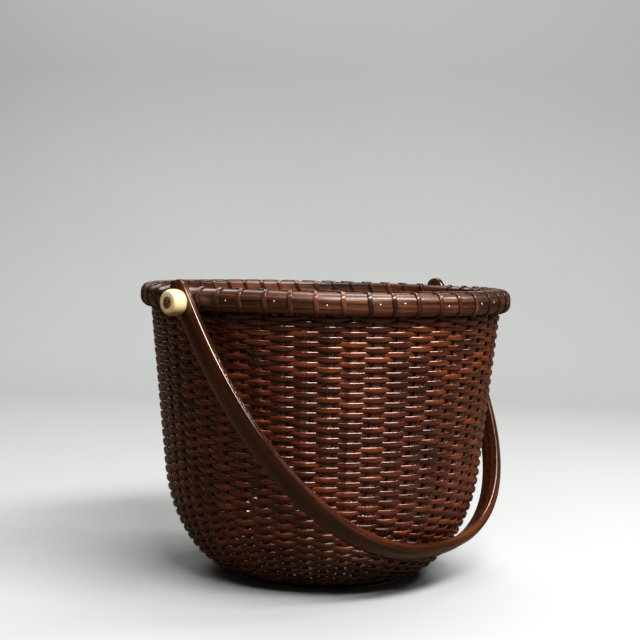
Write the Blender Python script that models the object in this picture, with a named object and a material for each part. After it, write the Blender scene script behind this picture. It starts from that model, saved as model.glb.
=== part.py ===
"""Round woven basket with a turned base, a lashed double rim and one swing handle.

Every length is in metres. The origin is the middle of the base's underside, with Z up. The handle's
pivot axis lies along X, and the handle hangs at rest over the front of the wall, towards -Y.
"""

import math

import bmesh
import bpy
from mathutils import Matrix, Vector

# Gap left between two pieces that seat on each other
FIT = 0.0003
# How far a cutter runs past what it cuts
OVERRUN = 0.004

# Whole basket
STAVE_COUNT = 49
RIM_DIAMETER = 0.229
RIM_TOP = 0.178
# Radius that the straight part of the wall gains for each unit of height
WALL_TAPER = 0.103

# Turned base
BASE_DIAMETER = 0.1094
BASE_HEIGHT = 0.009
BASE_EDGE_ROUND = 0.0022
BASE_TOP_ROUND = 0.0012
BASE_BEAD_WIDTH = 0.0030
BASE_BEAD_DEPTH = 0.0008
BASE_OUTER_BEAD_DIAMETER = 0.084
BASE_INNER_BEAD_DIAMETER = 0.034
BASE_STEPS = 40
KERF_HEIGHT = 0.0044
KERF_DEPTH = 0.0085

# Staves
STAVE_THICKNESS = 0.0014
STAVE_TOP_WIDTH = 0.0048
STAVE_FOOT_WIDTH = 0.0030
STAVE_TOP_DROP = 0.0032
# Height at which the bend out of the base has become the straight wall
BEND_TOP = 0.0664
BEND_STEPS = 7

# Woven wall, inside the staves
WALL_THICKNESS = 0.0018

# Rim
HOOP_HEIGHT = 0.0128
OUTER_HOOP_THICKNESS = 0.0051
OUTER_HOOP_ROUND = 0.0049
INNER_HOOP_THICKNESS = 0.0045
INNER_HOOP_ROUND = 0.0016
ROUND_STEPS = 2
# Edges that turn more than this look sharp, the second on what is rounded in few steps
SHARP_DEGREES = 40.0
ROUNDED_SHARP_DEGREES = 50.0
FILLER_RISE = 0.0003
LASHING_WIDTH = 0.0027
LASHING_THICKNESS = 0.0007
# Places of one wrap of the lashing, as shares of the stave pitch that the wrap has gone round by
LASHING_OUTER_TOP_SHARE = 0.06
LASHING_INNER_TOP_SHARE = 0.62

# Handle
PIVOT_DROP = 0.0080
HANDLE_REACH = 0.1702
HANDLE_WIDTH = 0.0130
HANDLE_EAR_THICKNESS = 0.0044
HANDLE_BOW_THICKNESS = 0.0060
HANDLE_LEG = 0.0050
HANDLE_EAR_REACH = 0.0142
# Power of the bow's outline: 1 is an ellipse, less is squarer
HANDLE_CORNER_SHARE = 0.8734
# Gap left between the staves and the handle where it hangs against them
HANDLE_REST_GAP = 0.0011
HANG_TRIES_COUNT = 30
HANDLE_STEPS = 16
EAR_STEPS_DEGREES = (14.0, 38.0, 65.0, 90.0)
# Section of the handle, flat inside and rounded outside: shares of its thickness and of its width
HANDLE_SECTION_SHARES = (
    (-0.50, -0.44),
    (-0.38, -0.50),
    (0.28, -0.50),
    (0.43, -0.38),
    (0.50, -0.16),
    (0.50, 0.16),
    (0.43, 0.38),
    (0.28, 0.50),
    (-0.38, 0.50),
    (-0.50, 0.44),
)

# Pivot pins and knobs
PIN_DIAMETER = 0.0024
PIN_HEAD_DIAMETER = 0.0060
PIN_HEAD_THICKNESS = 0.0010
PIN_HEAD_DOME = 0.0004
PIN_TAIL_DIAMETER = 0.0050
PIN_STEPS = 16
KNOB_DIAMETER = 0.0152
KNOB_END_DIAMETER = 0.0086
KNOB_LENGTH = 0.0098
KNOB_STEPS = 20
KNOB_ARC_STEPS = 6
# Vertices of a turned solid that fall together on its axis are closer than this
AXIS_MERGE = 0.00001

# Sizes that follow from those above
PITCH = math.tau / STAVE_COUNT
RIM_RADIUS = RIM_DIAMETER / 2
BASE_RADIUS = BASE_DIAMETER / 2
STAVE_HALF = STAVE_THICKNESS / 2
HOOP_BOTTOM = RIM_TOP - HOOP_HEIGHT
STAVE_TOP = RIM_TOP - STAVE_TOP_DROP
LINE_TOP_RADIUS = RIM_RADIUS - OUTER_HOOP_THICKNESS - FIT - STAVE_HALF
FOOT_RADIUS = BASE_RADIUS + FIT
INNER_HOOP_RADIUS = LINE_TOP_RADIUS - WALL_TAPER * HOOP_HEIGHT - STAVE_HALF - FIT - INNER_HOOP_THICKNESS
LASHING_UNDER = HOOP_BOTTOM - FIT - LASHING_THICKNESS
WALL_TOP = LASHING_UNDER - FIT
FILLER_TOP = RIM_TOP + FILLER_RISE
PIVOT_HEIGHT = RIM_TOP - PIVOT_DROP
HANDLE_INNER_SPAN = RIM_RADIUS + FIT + LASHING_THICKNESS + FIT
HANDLE_HALF_SPAN = HANDLE_INNER_SPAN + HANDLE_EAR_THICKNESS / 2
KNOB_SEAT = HANDLE_INNER_SPAN + HANDLE_EAR_THICKNESS + FIT
BORE_RADIUS = PIN_DIAMETER / 2 + FIT


def clear_scene():
    """Removes every object that the file opened with."""
    for scene_object in list(bpy.data.objects):
        bpy.data.objects.remove(scene_object, do_unlink=True)


def make_finish(name, colour, roughness, metallic=0.0):
    """A plain material in the piece's own colour."""
    finish = bpy.data.materials.new(name)
    finish.use_nodes = True
    shader = finish.node_tree.nodes["Principled BSDF"]
    shader.inputs["Base Color"].default_value = (*colour, 1.0)
    shader.inputs["Roughness"].default_value = roughness
    shader.inputs["Metallic"].default_value = metallic
    return finish


def add_piece(name, shape, finish, sharp_degrees=SHARP_DEGREES):
    """Turns a closed bmesh into one named object, smooth except at its sharp edges."""
    bmesh.ops.recalc_face_normals(shape, faces=shape.faces)
    mesh = bpy.data.meshes.new(name)
    shape.to_mesh(mesh)
    shape.free()
    mesh.shade_smooth()
    mesh.set_sharp_from_angle(angle=math.radians(sharp_degrees))
    mesh.materials.append(finish)
    piece = bpy.data.objects.new(name, mesh)
    bpy.context.scene.collection.objects.link(piece)
    return piece


def turn(profile, steps, axis="Z", start=0.0, flats=False):
    """Spins a closed outline of (radius, place along the axis) points once round an axis.

    With flats, the outline's radii are those of the middles of the flat faces.
    """
    shape = bmesh.new()
    grow = 1.0 / math.cos(math.pi / steps) if flats else 1.0
    direction = Vector((1.0, 0.0, 0.0)) if axis == "X" else Vector((0.0, 0.0, 1.0))
    across = Vector((0.0, 0.0, 1.0)) if axis == "X" else Vector((math.cos(start), math.sin(start), 0.0))
    corners = [shape.verts.new(across * (radius * grow) + direction * along) for radius, along in profile]
    edges = [shape.edges.new(pair) for pair in zip(corners, corners[1:] + corners[:1])]
    bmesh.ops.spin(
        shape,
        geom=corners + edges,
        cent=(0.0, 0.0, 0.0),
        axis=direction,
        angle=math.tau,
        steps=steps,
        use_merge=True,
    )
    return shape


def turn_solid(profile, steps, axis="Z"):
    """Spins an open outline that starts and ends on the axis into a solid."""
    shape = bmesh.new()
    direction = Vector((1.0, 0.0, 0.0)) if axis == "X" else Vector((0.0, 0.0, 1.0))
    across = Vector((0.0, 0.0, 1.0)) if axis == "X" else Vector((1.0, 0.0, 0.0))
    corners = [shape.verts.new(across * radius + direction * along) for radius, along in profile]
    edges = [shape.edges.new(pair) for pair in zip(corners, corners[1:])]
    bmesh.ops.spin(
        shape,
        geom=corners + edges,
        cent=(0.0, 0.0, 0.0),
        axis=direction,
        angle=math.tau,
        steps=steps,
        use_merge=True,
    )
    bmesh.ops.remove_doubles(shape, verts=shape.verts, dist=AXIS_MERGE)
    return shape


def sweep(sections):
    """Joins equal sections into a tube, each to the next, and closes both ends."""
    shape = bmesh.new()
    rings = [[shape.verts.new(point) for point in section] for section in sections]
    shape.faces.new(rings[0][::-1])
    shape.faces.new(rings[-1])
    for ring, following in zip(rings, rings[1:]):
        count = len(ring)
        for index in range(count):
            beside = (index + 1) % count
            shape.faces.new((ring[index], ring[beside], following[beside], following[index]))
    return shape


def fillet(before, corner, after, radius, steps):
    """Points of an arc of this radius that rounds a corner of an outline."""
    before, corner, after = Vector(before), Vector(corner), Vector(after)
    to_before = (before - corner).normalized()
    to_after = (after - corner).normalized()
    half_angle = to_before.angle(to_after) / 2
    inward = (to_before + to_after).normalized()
    centre = corner + inward * (radius / math.sin(half_angle))
    start = corner + to_before * (radius / math.tan(half_angle)) - centre
    end = corner + to_after * (radius / math.tan(half_angle)) - centre
    sweep_angle = start.angle(end)
    points = []
    for step in range(steps + 1):
        turned = sweep_angle * step / steps
        arm = (start * math.sin(sweep_angle - turned) + end * math.sin(turned)) / math.sin(sweep_angle)
        points.append(tuple(centre + arm))
    return points


def wall_radius(height):
    """Radius of the middle of the staves where the wall is straight."""
    return LINE_TOP_RADIUS - WALL_TAPER * (RIM_TOP - height)


def straight_point(height):
    """(radius, height) and outward normal of the stave line on the straight wall."""
    length = math.hypot(1.0, WALL_TAPER)
    return Vector((wall_radius(height), height)), Vector((1.0, -WALL_TAPER)) / length


def bend_point(share):
    """(radius, height) and outward normal of the stave line in the bend, from the foot at 0 to 1."""
    angle = share * math.pi / 2
    rise = BEND_TOP - KERF_HEIGHT
    reach = wall_radius(KERF_HEIGHT) - FOOT_RADIUS
    height = KERF_HEIGHT + rise * (1.0 - math.cos(angle))
    radius = wall_radius(height) - reach * (1.0 - math.sin(angle))
    height_rate = rise * math.sin(angle)
    radius_rate = WALL_TAPER * height_rate + reach * math.cos(angle)
    normal = Vector((height_rate, -radius_rate)).normalized()
    return Vector((radius, height)), normal


def stave_line(top):
    """The stave line from the foot's bend to this height, as points with their normals."""
    line = [bend_point(step / BEND_STEPS) for step in range(BEND_STEPS + 1)]
    line.append(straight_point(top))
    return line


def offset_line(line, distance):
    """The line moved outwards by a distance, as (radius, height) pairs."""
    return [tuple(point + normal * distance) for point, normal in line]


def outer_radius(height):
    """Radius of the staves' outer faces at a height."""
    line = offset_line(stave_line(STAVE_TOP), STAVE_HALF)
    for (low_radius, low), (high_radius, high) in zip(line, line[1:]):
        if height <= high:
            share = max((height - low) / (high - low), 0.0)
            return low_radius + (high_radius - low_radius) * share
    return line[-1][0]


def around(angle):
    """Radial and tangential directions at an angle round the basket."""
    radial = Vector((math.cos(angle), math.sin(angle), 0.0))
    tangential = Vector((-math.sin(angle), math.cos(angle), 0.0))
    return radial, tangential


def stave_width(radius):
    """Width of a stave, which tapers towards its foot."""
    share = (radius - FOOT_RADIUS) / (LINE_TOP_RADIUS - FOOT_RADIUS)
    return STAVE_FOOT_WIDTH + (STAVE_TOP_WIDTH - STAVE_FOOT_WIDTH) * max(share, 0.0)


def stave_angle(index):
    """Angle of a stave round the basket: the first one stands at the near pivot, at -X."""
    return math.pi + index * PITCH


def add_base(finish):
    """Turned disc with a kerf for the staves' feet, beads on its top and a flat underside."""
    kerf_low = KERF_HEIGHT - STAVE_HALF - FIT
    kerf_high = KERF_HEIGHT + STAVE_HALF + FIT
    kerf_floor = BASE_RADIUS - KERF_DEPTH
    profile = [(0.0, 0.0)]
    profile += fillet(
        (0.0, 0.0), (BASE_RADIUS, 0.0), (BASE_RADIUS, kerf_low), BASE_EDGE_ROUND, ROUND_STEPS
    )
    profile += [
        (BASE_RADIUS, kerf_low),
        (kerf_floor, kerf_low),
        (kerf_floor, kerf_high),
        (BASE_RADIUS, kerf_high),
    ]
    profile += fillet(
        (BASE_RADIUS, kerf_high), (BASE_RADIUS, BASE_HEIGHT), (0.0, BASE_HEIGHT), BASE_TOP_ROUND, ROUND_STEPS
    )
    for diameter in (BASE_OUTER_BEAD_DIAMETER, BASE_INNER_BEAD_DIAMETER):
        profile += [
            (diameter / 2 + BASE_BEAD_WIDTH / 2, BASE_HEIGHT),
            (diameter / 2, BASE_HEIGHT - BASE_BEAD_DEPTH),
            (diameter / 2 - BASE_BEAD_WIDTH / 2, BASE_HEIGHT),
        ]
    profile.append((0.0, BASE_HEIGHT))
    return add_piece("turned_base", turn_solid(profile, BASE_STEPS), finish)


def stave_section(point, normal, angle, width):
    """The four corners of a stave at one place on its line."""
    radial, tangential = around(angle)
    places = (
        (-STAVE_HALF, -width / 2),
        (-STAVE_HALF, width / 2),
        (STAVE_HALF, width / 2),
        (STAVE_HALF, -width / 2),
    )
    section = []
    for outward, sideways in places:
        radius, height = point + normal * outward
        section.append(radial * radius + tangential * sideways + Vector((0.0, 0.0, height)))
    return section


def add_stave(index, finish, bore):
    """One stave, from the floor of the kerf round the bend and up between the hoops."""
    angle = stave_angle(index)
    foot = Vector((BASE_RADIUS - KERF_DEPTH + FIT, KERF_HEIGHT)), Vector((0.0, -1.0))
    line = [foot] + stave_line(STAVE_TOP)
    sections = [stave_section(point, normal, angle, stave_width(point.x)) for point, normal in line]
    piece = add_piece(f"stave_{index + 1:02d}", sweep(sections), finish)
    sideways = abs(math.sin(angle)) * wall_radius(PIVOT_HEIGHT)
    if sideways < STAVE_TOP_WIDTH / 2 + BORE_RADIUS:
        cut(piece, bore)
    return piece


def add_wall(finish):
    """The woven wall as one closed skin on the inner side of the staves, open at the mouth."""
    line = stave_line(WALL_TOP)
    outer = offset_line(line, -STAVE_HALF - FIT)
    inner = offset_line(line, -STAVE_HALF - FIT - WALL_THICKNESS)
    start = stave_angle(0) + PITCH / 2
    return add_piece("woven_wall", turn(outer + inner[::-1], STAVE_COUNT, start=start, flats=True), finish)


def add_outer_hoop(finish, bore):
    """The hoop outside the stave tops, rounded on its outer edges."""
    seat = STAVE_HALF + FIT
    low, high = (offset_line([straight_point(z)], seat)[0][0] for z in (HOOP_BOTTOM, RIM_TOP))
    bottom, top = (RIM_RADIUS, HOOP_BOTTOM), (RIM_RADIUS, RIM_TOP)
    profile = [(low, HOOP_BOTTOM)]
    profile += fillet((low, HOOP_BOTTOM), bottom, top, OUTER_HOOP_ROUND, ROUND_STEPS)
    profile += fillet(bottom, top, (high, RIM_TOP), OUTER_HOOP_ROUND, ROUND_STEPS)
    profile.append((high, RIM_TOP))
    start = stave_angle(0) + PITCH / 2
    shape = turn(profile, STAVE_COUNT, start=start, flats=True)
    piece = add_piece("outer_rim_hoop", shape, finish, ROUNDED_SHARP_DEGREES)
    cut(piece, bore)
    return piece


def add_inner_hoop(finish, bore):
    """The hoop inside the stave tops."""
    seat = -STAVE_HALF - FIT
    low, high = (offset_line([straight_point(z)], seat)[0][0] for z in (HOOP_BOTTOM, RIM_TOP))
    bottom, top = (INNER_HOOP_RADIUS, HOOP_BOTTOM), (INNER_HOOP_RADIUS, RIM_TOP)
    profile = [(low, HOOP_BOTTOM), (high, RIM_TOP)]
    profile += fillet((high, RIM_TOP), top, bottom, INNER_HOOP_ROUND, ROUND_STEPS)
    profile += fillet(top, bottom, (low, HOOP_BOTTOM), INNER_HOOP_ROUND, ROUND_STEPS)
    start = stave_angle(0) + PITCH / 2
    shape = turn(profile, STAVE_COUNT, start=start, flats=True)
    piece = add_piece("inner_rim_hoop", shape, finish, ROUNDED_SHARP_DEGREES)
    cut(piece, bore)
    return piece


def add_filler(finish):
    """The strip that fills the gap between the hoops over the ends of the staves."""
    low_height = STAVE_TOP + FIT
    profile = []
    for height, side in ((low_height, -1), (low_height, 1), (FILLER_TOP, 1), (FILLER_TOP, -1)):
        profile.append((wall_radius(height) + side * (STAVE_HALF - FIT / 2), height))
    start = stave_angle(0) + PITCH / 2
    return add_piece("rim_filler", turn(profile, STAVE_COUNT, start=start, flats=True), finish)


def lashing_section(angle, near_place, far_place, slant):
    """One section of the lashing: its two faces at an angle round the rim, turned by a slant."""
    radial, tangential = around(angle)
    sideways = (tangential * math.cos(slant) - radial * math.sin(slant)) * (LASHING_WIDTH / 2)
    low, high = (radial * place[0] + Vector((0.0, 0.0, place[1])) for place in (near_place, far_place))
    return [low - sideways, low + sideways, high + sideways, high - sideways]


def wrap_places():
    """One wrap round both hoops: share of the pitch gone by, near face, far face and slant of each place."""
    near, far = FIT, FIT + LASHING_THICKNESS
    outside, inside = RIM_RADIUS / math.cos(PITCH / 2), INNER_HOOP_RADIUS
    outer_edge, inner_edge = outside - OUTER_HOOP_ROUND, inside + INNER_HOOP_ROUND / 2
    top_run = outer_edge - inside - INNER_HOOP_ROUND
    first_share, last_share = LASHING_OUTER_TOP_SHARE, LASHING_INNER_TOP_SHARE
    slant = math.atan2((last_share - first_share) * PITCH * wall_radius(RIM_TOP), top_run)
    under, lower, upper = HOOP_BOTTOM, HOOP_BOTTOM + OUTER_HOOP_ROUND, RIM_TOP - OUTER_HOOP_ROUND
    inner_side_top = RIM_TOP - INNER_HOOP_ROUND
    near_arm, far_arm = ((OUTER_HOOP_ROUND + gap) * math.sqrt(0.5) for gap in (near, far))
    crest = FILLER_TOP - OUTER_HOOP_ROUND
    return (
        (0.0, (outer_edge, under - near), (outer_edge, under - far), 0.0),
        (0.0, (outer_edge + near_arm, lower - near_arm), (outer_edge + far_arm, lower - far_arm), 0.0),
        (0.0, (outside + near, lower), (outside + far, lower), 0.0),
        (first_share, (outside + near, upper), (outside + far, upper), 0.0),
        (first_share, (outer_edge + near_arm, crest + near_arm), (outer_edge + far_arm, crest + far_arm), 0.0),
        (first_share, (outer_edge, FILLER_TOP + near), (outer_edge, FILLER_TOP + far), slant),
        (last_share, (inner_edge, FILLER_TOP + near), (inner_edge, FILLER_TOP + far), 0.0),
        (last_share, (inside - near, inner_side_top), (inside - far, inner_side_top), 0.0),
        (1.0, (inside - near, under - near), (inside - far, under - far), 0.0),
    )


def add_lashing(finish):
    """One strip of cane wound round both hoops, once for each space between staves.

    It starts beside the far pivot and leaves out the space under that ear of the handle.
    """
    places = wrap_places()
    wound = [(0, places[-1])]
    wound += [(wrap, place) for wrap in range(1, STAVE_COUNT) for place in places]
    sections = [
        lashing_section(-(wrap + share) * PITCH, near_place, far_place, slant)
        for wrap, (share, near_place, far_place, slant) in wound[:-1]
    ]
    return add_piece("rim_lashing", sweep(sections), finish)


def handle_line():
    """Points (across, up, width share, bow share) of the handle's middle line, ear to ear, upright."""
    half = []
    ear_round = HANDLE_WIDTH / 2
    for degrees in EAR_STEPS_DEGREES:
        angle = math.radians(degrees)
        up = ear_round * (1.0 - math.cos(angle)) - HANDLE_EAR_REACH
        half.append((HANDLE_HALF_SPAN, up, math.sin(angle), 0.0))
    half.append((HANDLE_HALF_SPAN, HANDLE_LEG, 1.0, 0.0))
    for step in range(1, HANDLE_STEPS + 1):
        angle = step / HANDLE_STEPS * math.pi / 2
        across = HANDLE_HALF_SPAN * math.cos(angle) ** HANDLE_CORNER_SHARE if step < HANDLE_STEPS else 0.0
        up = HANDLE_LEG + (HANDLE_REACH - HANDLE_LEG) * math.sin(angle) ** HANDLE_CORNER_SHARE
        half.append((across, up, 1.0, math.sin(angle) ** 2))
    mirrored = [(-across, up, width, bow) for across, up, width, bow in half]
    return mirrored + half[-2::-1]


def handle_sections():
    """The handle's sections from ear to ear, upright about its pivot axis."""
    line = handle_line()
    sections = []
    for index, (across, up, width_share, bow_share) in enumerate(line):
        before = Vector(line[max(index - 1, 0)][:2])
        after = Vector(line[min(index + 1, len(line) - 1)][:2])
        run = (after - before).normalized()
        outward = Vector((-run.y, 0.0, run.x))
        thickness = HANDLE_EAR_THICKNESS + (HANDLE_BOW_THICKNESS - HANDLE_EAR_THICKNESS) * bow_share
        middle = Vector((across, 0.0, up))
        sections.append(
            [
                middle + outward * (depth * thickness) + Vector((0.0, side * width_share * HANDLE_WIDTH, 0.0))
                for depth, side in HANDLE_SECTION_SHARES
            ]
        )
    return sections


def laid_down(hang):
    """Turns the upright handle forwards until it is this angle below level."""
    return Matrix.Translation((0.0, 0.0, PIVOT_HEIGHT)) @ Matrix.Rotation(math.pi / 2 + hang, 4, "X")


def hang_angle(sections):
    """How far below level the handle comes to rest against the staves, found by halving."""
    clear, blocked = 0.0, math.pi / 2
    for _ in range(HANG_TRIES_COUNT):
        middle = (clear + blocked) / 2
        places = [laid_down(middle) @ point for section in sections for point in section]
        gap = min(math.hypot(place.x, place.y) - outer_radius(place.z) for place in places)
        if gap > HANDLE_REST_GAP:
            clear = middle
        else:
            blocked = middle
    return clear


def add_handle(finish, bore):
    """The bent handle, modelled upright about its pivot axis and then laid down against the wall."""
    sections = handle_sections()
    piece = add_piece("swing_handle", sweep(sections), finish)
    piece.matrix_world = laid_down(hang_angle(sections))
    cut(piece, bore)
    return piece


def add_bore_cutter():
    """One rod through both pivots, which drills the hoops, the stave and the handle's ears."""
    reach = HANDLE_HALF_SPAN + HANDLE_EAR_THICKNESS + OVERRUN
    profile = [(0.0, reach), (BORE_RADIUS, reach), (BORE_RADIUS, -reach), (0.0, -reach)]
    piece = add_piece("pivot_bore_cutter", turn_solid(profile, PIN_STEPS, axis="X"), None)
    piece.location = (0.0, 0.0, PIVOT_HEIGHT)
    piece.hide_render = True
    piece.display_type = "WIRE"
    return piece


def cut(piece, cutter):
    """Takes the cutter's shape out of a piece."""
    modifier = piece.modifiers.new("pivot_bore", "BOOLEAN")
    modifier.operation = "DIFFERENCE"
    modifier.solver = "EXACT"
    modifier.object = cutter


def add_pin(name, side, finish):
    """A headed pin, clenched inside the rim over a disc and outside in the knob's recess."""
    shank = PIN_DIAMETER / 2
    head, tail = PIN_HEAD_DIAMETER / 2, PIN_TAIL_DIAMETER / 2
    tail_seat = INNER_HOOP_RADIUS - FIT
    outer_end = KNOB_SEAT + KNOB_LENGTH
    head_seat = outer_end - PIN_HEAD_THICKNESS
    profile = [
        (0.0, outer_end + PIN_HEAD_DOME),
        (head / 2, outer_end + PIN_HEAD_DOME * 3 / 4),
        (head, outer_end),
        (head, head_seat),
        (shank, head_seat),
        (shank, tail_seat),
        (tail, tail_seat),
        (tail, tail_seat - PIN_HEAD_THICKNESS),
        (0.0, tail_seat - PIN_HEAD_THICKNESS - PIN_HEAD_DOME),
    ]
    profile = [(radius, side * along) for radius, along in profile]
    piece = add_piece(name, turn_solid(profile, PIN_STEPS, axis="X"), finish)
    piece.location = (0.0, 0.0, PIVOT_HEIGHT)
    return piece


def add_knob(name, side, finish):
    """A barrel-shaped knob with a bore for the pin and a recess for its head."""
    inner_end, outer_end = KNOB_SEAT, KNOB_SEAT + KNOB_LENGTH
    end_radius = KNOB_END_DIAMETER / 2
    swell = KNOB_DIAMETER / 2 - end_radius
    recess_radius = PIN_HEAD_DIAMETER / 2 + FIT
    recess_floor = outer_end - PIN_HEAD_THICKNESS - FIT
    profile = [(BORE_RADIUS, inner_end)]
    middle = (inner_end + outer_end) / 2
    for step in range(KNOB_ARC_STEPS + 1):
        angle = math.pi * step / KNOB_ARC_STEPS
        bulge = math.sqrt(max(math.sin(angle), 0.0))
        profile.append((end_radius + swell * bulge, middle - math.cos(angle) * KNOB_LENGTH / 2))
    profile += [(recess_radius, outer_end), (recess_radius, recess_floor), (BORE_RADIUS, recess_floor)]
    profile = [(radius, side * along) for radius, along in profile]
    piece = add_piece(name, turn(profile, KNOB_STEPS, axis="X"), finish)
    piece.location = (0.0, 0.0, PIVOT_HEIGHT)
    return piece


def main():
    clear_scene()
    base_wood = make_finish("base_wood", (0.16, 0.055, 0.022), 0.35)
    stave_wood = make_finish("stave_wood", (0.20, 0.075, 0.032), 0.35)
    woven_cane = make_finish("woven_cane", (0.17, 0.058, 0.026), 0.32)
    hoop_wood = make_finish("hoop_wood", (0.15, 0.050, 0.024), 0.30)
    lashing_cane = make_finish("lashing_cane", (0.30, 0.12, 0.05), 0.30)
    handle_wood = make_finish("handle_wood", (0.11, 0.036, 0.014), 0.28)
    bone = make_finish("bone", (0.80, 0.72, 0.52), 0.30)
    dark_brass = make_finish("dark_brass", (0.22, 0.12, 0.05), 0.45, 0.8)

    bore = add_bore_cutter()
    add_base(base_wood)
    for index in range(STAVE_COUNT):
        add_stave(index, stave_wood, bore)
    add_wall(woven_cane)
    add_outer_hoop(hoop_wood, bore)
    add_inner_hoop(hoop_wood, bore)
    add_filler(stave_wood)
    add_lashing(lashing_cane)
    add_handle(handle_wood, bore)
    for name, side in (("near", -1), ("far", 1)):
        add_pin(f"{name}_pivot_pin", side, dark_brass)
        add_knob(f"{name}_pivot_knob", side, bone)


main()
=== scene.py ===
"""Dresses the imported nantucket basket: woven cane, staves, lashed rim, bent handle, knobs and turned base."""

from __future__ import annotations

import logging
import math
from dataclasses import dataclass, field
from enum import Enum

import bmesh
import bpy
from mathutils import Matrix, Vector


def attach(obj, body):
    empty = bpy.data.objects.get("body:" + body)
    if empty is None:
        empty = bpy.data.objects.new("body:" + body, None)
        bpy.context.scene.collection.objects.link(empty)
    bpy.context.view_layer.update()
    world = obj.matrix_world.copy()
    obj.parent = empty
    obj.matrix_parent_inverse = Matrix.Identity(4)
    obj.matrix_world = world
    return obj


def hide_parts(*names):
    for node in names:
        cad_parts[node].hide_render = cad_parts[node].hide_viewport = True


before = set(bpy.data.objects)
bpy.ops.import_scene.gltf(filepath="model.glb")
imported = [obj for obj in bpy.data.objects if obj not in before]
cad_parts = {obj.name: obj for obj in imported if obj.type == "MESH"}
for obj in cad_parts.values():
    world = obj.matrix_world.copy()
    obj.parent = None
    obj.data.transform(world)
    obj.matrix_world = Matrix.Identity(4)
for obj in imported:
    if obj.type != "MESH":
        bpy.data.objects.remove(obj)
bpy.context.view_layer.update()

LOG = logging.getLogger("basket")
MM = 0.001
UP = Vector((0.0, 0.0, 1.0))
SEAM_DISTANCE = 0.0005 * MM
POLE_DISTANCE = 0.002 * MM
TOUCH = 1e-9
NOISE_SPAN = (0.3, 0.7)
QUARTER = 90.0
KNOB_GIRTH = 4.0 * MM
GRAIN_SLOPE = 0.7

Triple = tuple[float, float, float]
Outline = list[tuple[float, float]]
Stations = list[list[Vector]]
Socket = bpy.types.NodeSocket
Node = bpy.types.Node
Tree = bpy.types.NodeTree
Material = bpy.types.Material
Shape = bmesh.types.BMesh


class Body(Enum):
    """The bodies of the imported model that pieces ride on."""

    BASKET = "basket"
    HANDLE = "handle"


class Slot(Enum):
    """The record's material slots."""

    BASE = "base_wood"
    STAVE = "stave_wood"
    WEAVE = "woven_cane"
    HOOP = "hoop_wood"
    LASHING = "lashing_cane"
    HANDLE = "handle_wood"
    BONE = "bone"
    BRASS = "dark_brass"


class Axis(Enum):
    """The lines that turned pieces are turned on."""

    UPRIGHT = "Z"
    PIVOT = "X"


class End(Enum):
    """The two ends of the pivot axis, by the side that they lie on."""

    NEAR = -1
    FAR = 1


class Face(Enum):
    """The two faces of the staves that the hoops press on."""

    INNER = -1
    OUTER = 1


# Shader tools


def add_node(tree: Tree, kind: str, inputs: dict | None = None, **settings: object) -> Node:
    """Adds a shader node.

    Args:
        tree: The node tree that takes the node.
        kind: Blender's type name for the node.
        inputs: Socket name or number to a value, or to the output socket that feeds it.
        **settings: Properties of the node itself.

    Returns:
        The new node.
    """
    node = tree.nodes.new(kind)
    for name, value in settings.items():
        setattr(node, name, value)
    for key, value in (inputs or {}).items():
        if isinstance(value, Socket):
            tree.links.new(value, node.inputs[key])
        else:
            node.inputs[key].default_value = value
    return node


def math_node(tree: Tree, operation: str, *values: object) -> Socket:
    """Adds a math node.

    Args:
        tree: The node tree that takes the node.
        operation: Blender's name for the operation.
        *values: The values or sockets that it works on.

    Returns:
        The result's socket.
    """
    return add_node(tree, "ShaderNodeMath", dict(enumerate(values)), operation=operation).outputs[0]


def noise(tree: Tree, place: Socket, scale: object, detail: float, roughness: float = 0.5) -> Socket:
    """Adds a noise texture.

    Args:
        tree: The node tree that takes the noise.
        place: The coordinates that it reads.
        scale: Its scale, or the socket that feeds it.
        detail: How many finer layers it has.
        roughness: How strong the finer layers are.

    Returns:
        The noise value's socket.
    """
    inputs = {"Vector": place, "Scale": scale, "Detail": detail, "Roughness": roughness}
    return add_node(tree, "ShaderNodeTexNoise", inputs).outputs["Fac"]


def ramp(tree: Tree, factor: Socket, stops: tuple[float, ...], colours: tuple[Triple, ...]) -> Socket:
    """Adds a colour ramp.

    Args:
        tree: The node tree that takes the ramp.
        factor: The value that the ramp reads.
        stops: Position of each stop, in order.
        colours: Red, green and blue of each stop.

    Returns:
        The ramp's colour output.
    """
    node = add_node(tree, "ShaderNodeValToRGB", {"Fac": factor})
    elements = node.color_ramp.elements
    while len(elements) < len(stops):
        elements.new(0.5)
    for element, position, colour in zip(elements, stops, colours):
        element.position = position
        element.color = (*colour, 1.0)
    return node.outputs["Color"]


def mix_colours(tree: Tree, factor: Socket, first: object, second: object) -> Socket:
    """Adds a mix of two colours.

    Args:
        tree: The node tree that takes the mix.
        factor: 0 for the first colour, 1 for the second.
        first: The first colour with its alpha, or its socket.
        second: The second colour with its alpha, or its socket.

    Returns:
        The mixed colour's socket.
    """
    return add_node(tree, "ShaderNodeMix", {0: factor, 6: first, 7: second}, data_type="RGBA").outputs[2]


def new_group(name: str, inputs: dict[str, str], outputs: tuple[str, ...]) -> tuple[Tree, Node, Node]:
    """Starts a node group.

    Args:
        name: The group's name.
        inputs: Name and Blender's type name of each input.
        outputs: Name of each output, which is a plain value.

    Returns:
        The group, its input node and its output node.
    """
    tree = bpy.data.node_groups.new(name, "ShaderNodeTree")
    for socket, kind in inputs.items():
        tree.interface.new_socket(socket, in_out="INPUT", socket_type=kind)
    for socket in outputs:
        tree.interface.new_socket(socket, in_out="OUTPUT", socket_type="NodeSocketFloat")
    return tree, tree.nodes.new("NodeGroupInput"), tree.nodes.new("NodeGroupOutput")


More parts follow.
